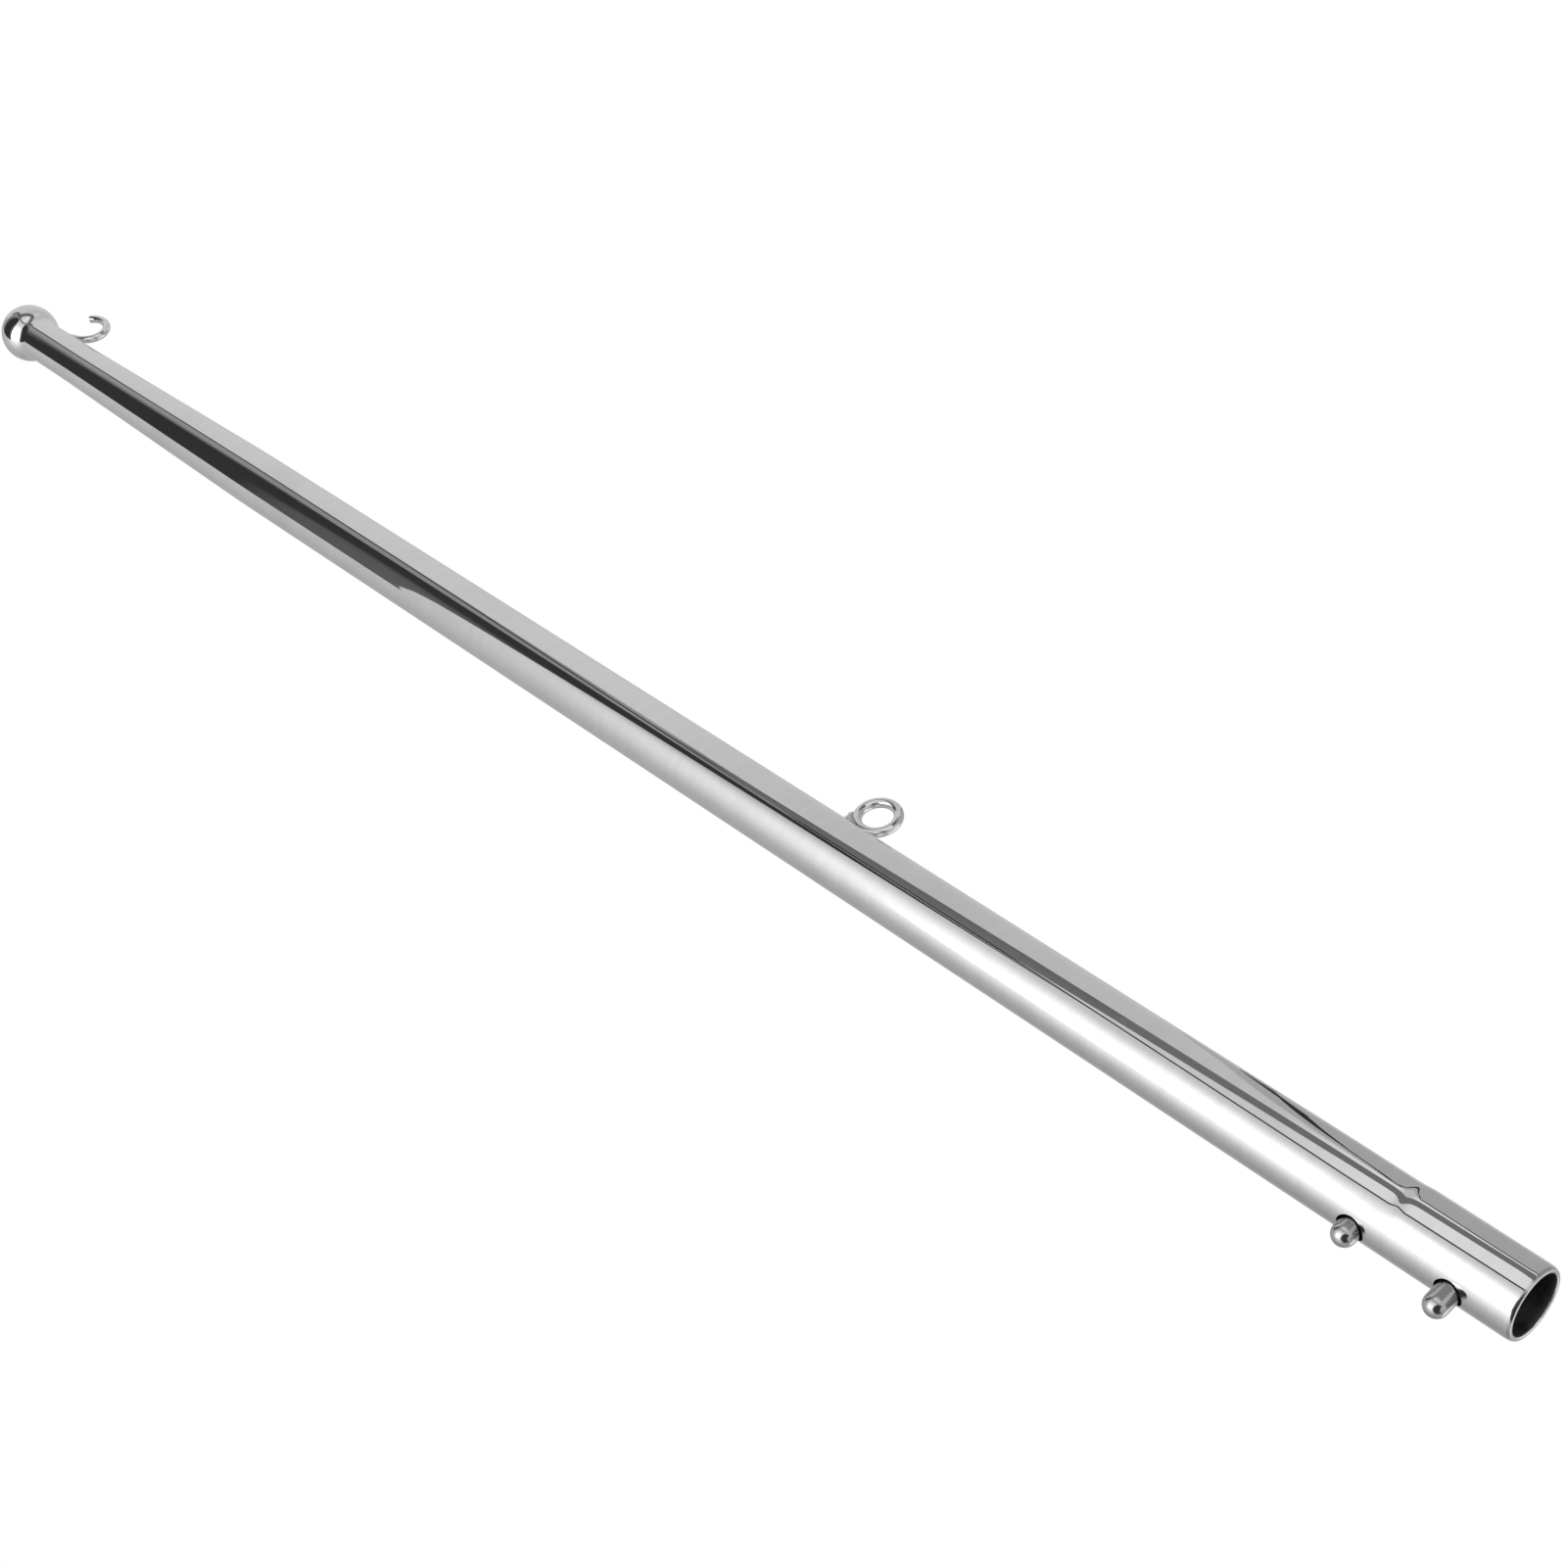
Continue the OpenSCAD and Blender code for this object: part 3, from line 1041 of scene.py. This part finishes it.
FOLD_FAR = at(2.4, (302, 1.43), (298, 1.64), (292, 1.85), (284, 2.08), (278, 2.29), (274, 2.55))
SEAM = at(
    2.35, (258, -1.4), (258, 0.79), (256.7, 1.0), (259.7, 1.22), (263, 1.43), (264.3, 1.64),
    (264, 1.9), (262, 2.15),
)
HIGH_SEAM = at(
    2.35, (267, 2.2), (269, 2.5), (272, 2.73), (275, 2.95), (277.5, 3.2), (279, 3.6), (279, 4.1),
    (277, 4.45), (274, 4.75), (271, 5.6), (268, 8.0),
)
STAND_TOP = at(
    1.0, (317, 0.43), (323, 0.44), (326, 0.455), (330, 0.475), (335, 0.492), (340, 0.503),
    (350, 0.518), (360, 0.528), (400, 0.54),
)
STAND_RIM = at(
    1.0, (317, 0.44), (323, 0.458), (326, 0.476), (330, 0.498), (335, 0.517), (340, 0.531),
    (350, 0.548), (360, 0.558), (400, 0.585),
)
STAND_BACK = at(
    1.05, (315, 0.44), (318, 0.5), (322, 0.55), (327, 0.58), (333, 0.605), (345, 0.63),
    (360, 0.65), (400, 0.68),
)
STAND_FOOT = -0.6
SHADE_TOP = at(1.0, (150, -0.5), (176, -0.16), (196, -0.04), (222, -0.1), (252, -0.5))
SHADE_FOOT = at(1.0, (112, -1.9), (150, -1.9), (196, -1.9), (245, -1.9), (285, -1.9))

# Cards and flags that the polished steel mirrors: name, tone at the foot and at the top, how much
# of the card fades out at its first side, last side, foot and top, and the places of its foot and
# of its top, from the first side to the last
CARDS = [
    ("key_window", 1.7, 1.7, (0.6, 0.41, 0.1, 0.577), *panel(141, 256, 2.9, -1.4, 3.8)),
    ("key_core", 2.6, 2.6, (0.3, 0.6, 0.1, 0.3), *panel(179, 218, 2.8, 0.0, 2.3)),
    ("side_shade", 0.35, 0.35, (0.3, 0.6, 0.1, 0.6), *panel(80, 150, 3.1, -1.0, 3.4)),
    ("upper_shade", 0.6, 0.6, (0.15, 0.3, 0.4, 0.4), *panel(272, 400, 3.1, 1.0, 3.3)),
    ("high_sweep", 0.27, 0.4, (0.45, 0.05, 0.2, 0.3), *panel(222, 282, 3.0, 2.0, 9.0)),
    ("side_window", 0.87, 0.87, (0.02, 0.05, 0.02, 0.12), *panel(258, 317, 2.6, -1.4, 1.35)),
    ("drape", 0.18, 0.18, (0.01, 0.0005, 0.03, 0.05), DRAPE_NEAR, DRAPE_FAR),
    ("drape_fold", 0.18, 0.15, (0.0005, 0.15, 0.03, 0.08), FOLD_NEAR, FOLD_FAR),
    ("seam", 0.01, 0.01, (0.01, 0.05, 0.35, 0.25), moved(SEAM, -3.0), moved(SEAM, 2.6)),
    ("high_seam", 0.02, 0.02, (0.08, 0.12, 0.3, 0.5),
     moved(HIGH_SEAM, -3.2), moved(HIGH_SEAM, 4.0)),
    ("dark_flag", 0.04, 0.035, (0.01, 0.12, 0.004, 0.28), FLAG_FOOT, FLAG_INNER),
    ("flag_rim", 0.125, 0.1, (0.05, 0.4, 0.02, 0.35), FLAG_RIM, FLAG_RIM_INNER),
    ("stand_back", 0.45, 0.45, (0.005, 0.1, 0.01, 0.02),
     moved(STAND_BACK, height=STAND_FOOT), STAND_BACK),
    ("stand", 0.44, 0.44, (0.005, 0.1, 0.01, 0.02), moved(STAND_TOP, height=STAND_FOOT), STAND_TOP),
    ("stand_edge", 0.035, 0.035, (0.02, 0.1, 0.1, 0.1), STAND_TOP, STAND_RIM),
    ("stand_side", 0.03, 0.03, (0.3, 0.3, 0.01, 0.01),
     *panel(313.6, 318.6, 1.0, STAND_FOOT, 0.44, steps=1)),
    ("low_white", 1.25, 1.25, (0.15, 0.15, 0.05, 0.15), *panel(20, 100, 3.0, -4.6, -1.0)),
    ("low_shade", 0.05, 0.05, (0.06, 0.06, 0.05, 0.06), SHADE_FOOT, SHADE_TOP),
]

# The tent's tone round the pole, as (azimuth, tone)
TENT_TONES = [
    (60, 0.46), (85, 0.46), (120, 0.48), (150, 0.57), (185, 0.64), (230, 0.66), (262, 0.7),
    (290, 0.7), (350, 0.7), (380, 0.66), (419, 0.52),
]
TENT_START = TENT_TONES[0][0]

FLOOR_TONE = 0.86
FLOOR_FADE = (0.9, 2.6)  # distances at which the floor begins to fade and is gone
WHITE = (1, 1, 1, 1)

# The camera stands low and to the button side, looks up along the pole, and is rolled so that the
# pole runs across the frame
CAMERA_PLACE = (-0.36886, -0.62922, -0.23628)
CAMERA_RIGHT = Vector((0.72745, 0.16768, -0.66536))
CAMERA_UP = Vector((0.55122, -0.72029, 0.42113))
CAMERA_LENS = 57.34


def card_material(name, low_tone, high_tone, soft):
    """A plain glowing card that fades out at its sides."""
    material = bpy.data.materials.new(name)
    tree = empty_tree(material)
    place = add(tree, "SeparateXYZ", {0: add(tree, "TexCoord").outputs["UV"]})
    across, up = place.outputs["X"], place.outputs["Y"]
    first, last, foot, top = soft
    mask = 1.0
    for way, low, high in ((across, first, last), (up, foot, top)):
        mask = times(tree, mask, spread(tree, way, 0.0, low))
        mask = times(tree, mask, spread(tree, way, 1.0 - high, 1.0, 1.0, 0.0))
    tone = spread(tree, up, 0.0, 1.0, low_tone, high_tone)
    glow = add(tree, "Emission", {"Color": WHITE, "Strength": tone}).outputs[0]
    clear = add(tree, "BsdfTransparent").outputs[0]
    show(tree, mix_shaders(tree, mask, clear, glow))
    return material


def hide_from_camera(obj, diffuse):
    obj.visible_camera = False
    obj.visible_shadow = False
    obj.visible_diffuse = diffuse


def add_card(name, low_tone, high_tone, soft, foot, top):
    """A card whose foot and top follow places in the studio."""
    steps = len(foot) - 1
    card = start_with(
        bpy.ops.mesh.primitive_grid_add, x_subdivisions=steps, y_subdivisions=1, size=1,
        location=(0, 0, 0),
    )
    card.name = name
    for vertex in card.data.vertices:
        column = round((vertex.co.x + 0.5) * steps)
        vertex.co = polar(*(foot if vertex.co.y < 0 else top)[column])
    card.data.materials.append(card_material(name, low_tone, high_tone, soft))
    hide_from_camera(card, False)


def tent_material():
    """Soft grey walls whose tone changes round the pole."""
    material = bpy.data.materials.new("Tent cloth")
    tree = empty_tree(material)
    values = {"Vector": object_point(tree), "Rotation": (0, 0, math.radians(180 - TENT_START))}
    turned = add(tree, "Mapping", values).outputs[0]
    round_pole = add(tree, "TexGradient", {"Vector": turned}, gradient_type="RADIAL")
    ramp = add(tree, "ValToRGB", {"Fac": round_pole.outputs["Fac"]})
    ramp.color_ramp.interpolation = "B_SPLINE"
    stops = ramp.color_ramp.elements
    while len(stops) < len(TENT_TONES):
        stops.new(1.0)
    for stop, (azimuth, tone) in zip(stops, TENT_TONES):
        stop.position = (azimuth - TENT_START) / 360
        stop.color = (tone, tone, tone, 1)
    show(tree, add(tree, "Emission", {"Color": ramp.outputs["Color"]}).outputs[0])
    return material


def floor_material():
    """Pale floor that fades out far from the pole and is clear from below."""
    material = bpy.data.materials.new("Pale floor")
    tree = empty_tree(material)
    paint = {"Color": (FLOOR_TONE, FLOOR_TONE, FLOOR_TONE, 1)}
    cloth = add(tree, "BsdfDiffuse", paint).outputs[0]
    clear = add(tree, "BsdfTransparent").outputs[0]
    far = add(tree, "VectorMath", {0: object_point(tree)}, operation="LENGTH")
    fade = spread(tree, far.outputs["Value"], *FLOOR_FADE)
    under = add(tree, "NewGeometry").outputs["Backfacing"]
    show(tree, mix_shaders(tree, math_node(tree, "MAXIMUM", fade, under), cloth, clear))
    return material


def add_floor():
    floor = start_with(
        bpy.ops.mesh.primitive_circle_add, vertices=96, radius=2.8, fill_type="NGON",
        location=(0, 0, -0.0002),
    )
    floor.name = "floor"
    place_in_mesh(floor)
    floor.data.materials.append(floor_material())
    floor.visible_glossy = False


def add_tent():
    tent = start_with(
        bpy.ops.mesh.primitive_uv_sphere_add, segments=64, ring_count=32, radius=12,
        location=(0, 0, 0),
    )
    tent.name = "tent"
    tent.data.materials.append(tent_material())
    hide_from_camera(tent, True)


def add_lamp(name, place, size, power):
    """A square lamp that faces the pole's middle and isn't mirrored."""
    aim = Vector((0, 0, 0.45)) - place
    lamp = start_with(
        bpy.ops.object.light_add, type="AREA", radius=size, location=place,
        rotation=aim.to_track_quat("-Z", "Y").to_euler(),
    )
    lamp.name = name
    lamp.data.energy = power
    lamp.data.size = size
    lamp.visible_glossy = False


def set_world():
    """White behind the object, and for whatever mirrors it past the tent."""
    world = bpy.data.worlds.new("Studio")
    bpy.context.scene.world = world
    tree = empty_tree(world)
    path = add(tree, "LightPath").outputs
    seen = math_node(tree, "MAXIMUM", path["Is Camera Ray"], path["Is Glossy Ray"])
    seen = math_node(tree, "MAXIMUM", seen, path["Is Transmission Ray"])
    white = add(tree, "Background", {"Color": WHITE}).outputs[0]
    soft = add(tree, "Background", {"Color": WHITE, "Strength": 0.7}).outputs[0]
    show(tree, mix_shaders(tree, seen, soft, white), "OutputWorld")


def add_camera():
    camera = start_with(bpy.ops.object.camera_add, location=CAMERA_PLACE)
    camera.name = "camera"
    axes = (CAMERA_RIGHT, CAMERA_UP, CAMERA_RIGHT.cross(CAMERA_UP))
    camera.rotation_euler = Matrix(axes).transposed().to_euler()
    camera.data.lens = CAMERA_LENS
    camera.data.clip_start = 0.01
    bpy.context.scene.camera = camera


class FLAGPOLE_OT_stage(bpy.types.Operator):
    """Floor, tent, cards, lamps, background and camera"""

    bl_idname = "flagpole.stage"
    bl_label = "Studio"

    def execute(self, context):
        set_world()
        add_floor()
        add_tent()
        for card in CARDS:
            add_card(*card)
        add_lamp("key_lamp", polar(215, 2.2, 2.2), 1.2, 34)
        add_lamp("fill_lamp", polar(20, 2.4, 1.8), 1.4, 14)
        add_camera()
        context.scene.view_settings.view_transform = "Standard"
        return {"FINISHED"}


# ---- add-on ----


class FLAGPOLE_PT_panel(bpy.types.Panel):
    """Lists the flagpole's pieces and its sizes"""

    bl_label = "Flagpole"
    bl_idname = "FLAGPOLE_PT_panel"
    bl_space_type = "VIEW_3D"
    bl_region_type = "UI"
    bl_category = "Flagpole"

    def draw(self, context):
        for group in (context.scene.flagpole_sizes, context.scene.flagpole_finish):
            box = self.layout.box()
            for name in group.bl_rna.properties.keys():
                if name not in {"rna_type", "name"}:
                    box.prop(group, name)
        for piece in PIECES:
            self.layout.operator(piece.bl_idname)


PIECES = (
    FLAGPOLE_OT_tube, FLAGPOLE_OT_ball, FLAGPOLE_OT_hook, FLAGPOLE_OT_eye, FLAGPOLE_OT_welds,
    FLAGPOLE_OT_buttons, FLAGPOLE_OT_springs, FLAGPOLE_OT_stage,
)
CLASSES = (FlagpoleSizes, FlagpoleFinish) + PIECES + (FLAGPOLE_PT_panel,)


def register():
    for cls in CLASSES:
        bpy.utils.register_class(cls)
    bpy.types.Scene.flagpole_sizes = PointerProperty(type=FlagpoleSizes)
    bpy.types.Scene.flagpole_finish = PointerProperty(type=FlagpoleFinish)


def unregister():
    del bpy.types.Scene.flagpole_finish
    del bpy.types.Scene.flagpole_sizes
    for cls in reversed(CLASSES):
        bpy.utils.unregister_class(cls)


def main():
    register()
    for piece in PIECES:
        group, action = piece.bl_idname.split(".")
        getattr(getattr(bpy.ops, group), action)()


if __name__ == "__main__":
    main()
